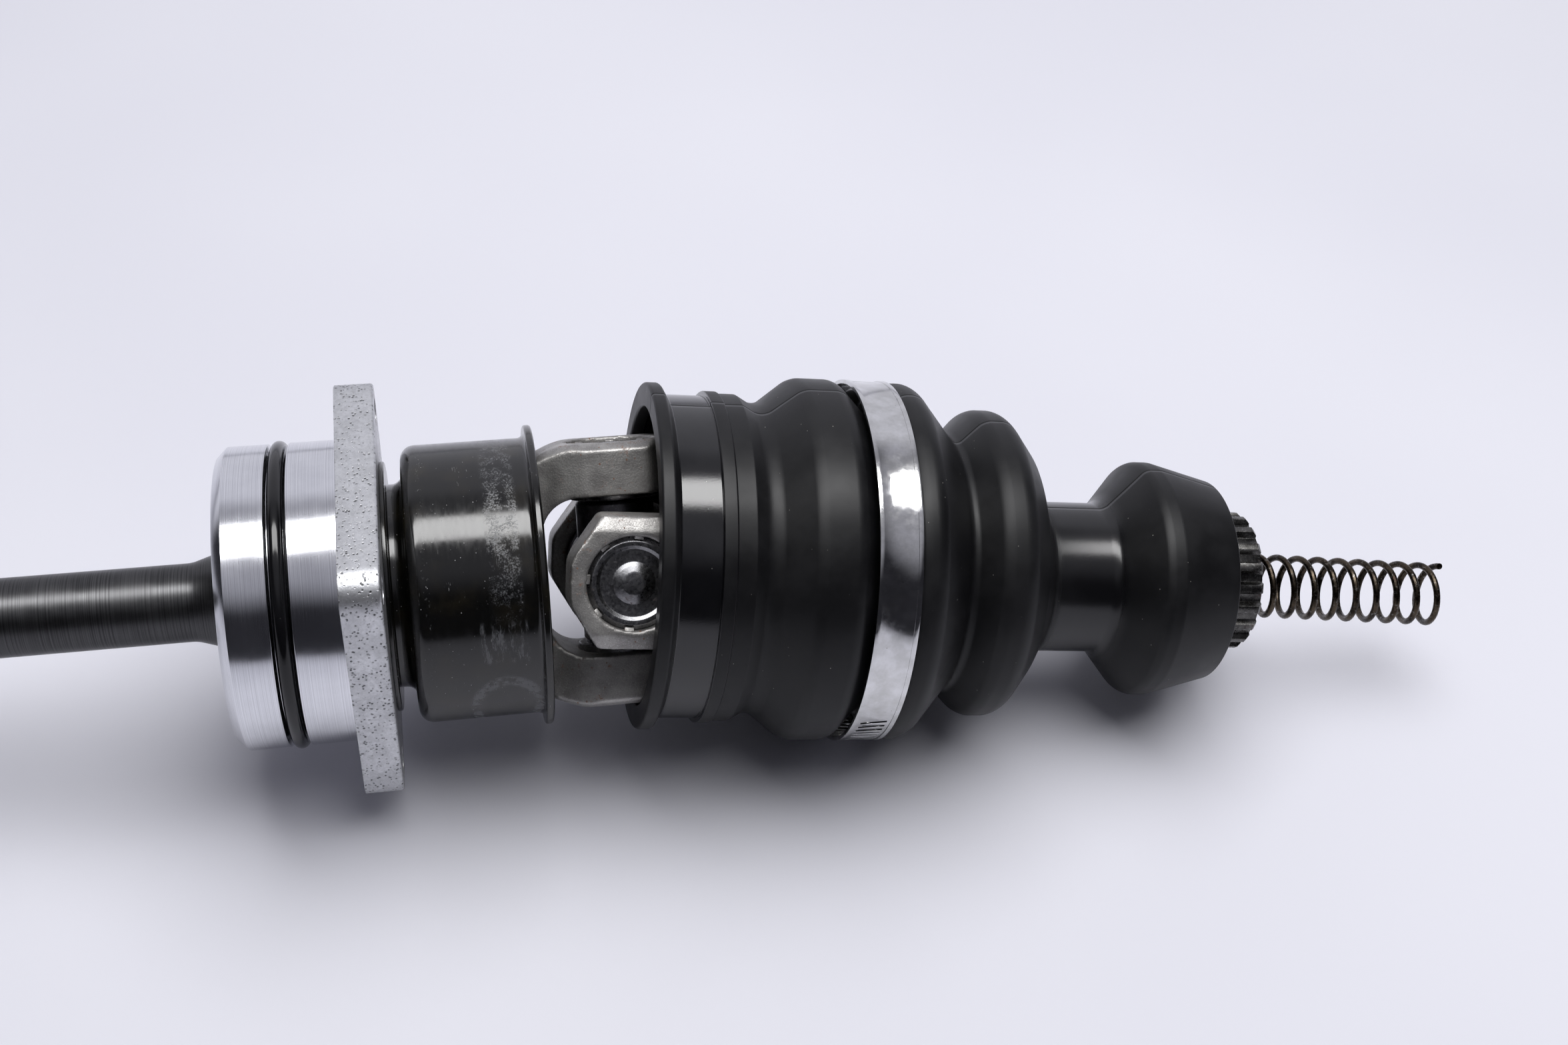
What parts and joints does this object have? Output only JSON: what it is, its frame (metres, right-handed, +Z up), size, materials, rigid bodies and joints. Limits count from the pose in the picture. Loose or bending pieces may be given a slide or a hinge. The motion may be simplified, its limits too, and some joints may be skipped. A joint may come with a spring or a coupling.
{
  "type": "drive shaft",
  "caption": "Shaft turning in a flanged bearing holder, with a covered universal joint, a bellows boot slid back on its clamp and a splined, spring-loaded output end",
  "frame": {"origin": "centre of the holder flange's seating face, on the input shaft's axis", "axes": "+X along the input shaft towards the joint and the spring, +Z up, with the flange's sides along Y and Z"},
  "size_m": [0.5574, 0.0957, 0.0932],
  "materials": {
    "cast_aluminium": "turned spigot, as-cast speckled flange rim",
    "nitrile_rubber": "glossy black",
    "bearing_steel": "ground",
    "ball_steel": "polished",
    "cage_nylon": "moulded",
    "spring_steel": "phosphated",
    "seal_rubber": "moulded on a steel case",
    "black_oxide_steel": "glossy black with scuffs",
    "dark_machined_steel": "turned, oiled",
    "forged_steel": "blasted forging with rust flecks",
    "cup_steel": "dark satin",
    "cross_steel": "forged, ground trunnions",
    "spring_wire": "dark oil-tempered wire",
    "boot_rubber": "matte black moulding",
    "stainless_band": "bright stainless",
    "zinc_screw": "zinc plated"
  },
  "bodies": {
    "holder": {"bearing_holder": "cast_aluminium", "holder_o_ring": "nitrile_rubber", "bearing_outer_ring": "bearing_steel", "bearing_circlip": "spring_steel", "oil_seal": "seal_rubber", "joint_cover": "black_oxide_steel"},
    "cage": {"bearing_cage": "cage_nylon", "bearing_balls": "ball_steel"},
    "input": {"input_shaft": "dark_machined_steel", "input_yoke": "forged_steel", "bearing_inner_ring": "bearing_steel", "shaft_circlip": "spring_steel", "input_cups": "cup_steel", "input_needles": "ball_steel", "input_cup_seals": "seal_rubber"},
    "cross": {"joint_cross": "cross_steel"},
    "output": {"output_yoke": "forged_steel", "output_cups": "cup_steel", "output_needles": "ball_steel", "output_cup_seals": "seal_rubber", "splined_stub": "dark_machined_steel"},
    "spring": {"preload_spring": "spring_wire"},
    "boot": {"boot": "boot_rubber", "clamp_band": "stainless_band", "clamp_housing": "stainless_band"},
    "worm": {"clamp_screw": "zinc_screw"}
  },
  "joints": [
    {"name": "shaft_spin", "type": "hinge", "parent": "holder", "child": "input", "pos_m": [0, 0, 0], "axis": [1, 0, 0], "continuous": true},
    {"name": "cage_spin", "type": "hinge", "parent": "holder", "child": "cage", "pos_m": [0, 0, 0], "axis": [1, 0, 0], "continuous": true},
    {"name": "joint_pitch", "type": "hinge", "parent": "input", "child": "cross", "pos_m": [0.0646, 0, 0], "axis": [0, 0.6225, 0.7826], "range_deg": [-22.28, 19.72]},
    {"name": "joint_yaw", "type": "hinge", "parent": "cross", "child": "output", "pos_m": [0.0646, 0, 0], "axis": [0.0223, -0.7824, 0.6224], "range_deg": [-14.92, 27.08]},
    {"name": "boot_slide", "type": "slide", "parent": "output", "child": "boot", "axis": [0.9941, -0.0486, -0.0967], "range_m": [-0.024, 0.005], "deforming": ["boot"]},
    {"name": "spring_compress", "type": "slide", "parent": "output", "child": "spring", "axis": [0.9941, -0.0486, -0.0967], "range_m": [-0.03, 0], "stiffness_N_per_m": 1280, "deforming": ["preload_spring"]},
    {"name": "clamp_screw_turn", "type": "hinge", "parent": "boot", "child": "worm", "pos_m": [0.1238, 0.04197, -0.02827], "axis": [-0.108, -0.4984, -0.8602], "continuous": true}
  ],
  "couplings": [
    {"joint": "cage_spin", "follows": "shaft_spin", "ratio": 0.397}
  ]
}
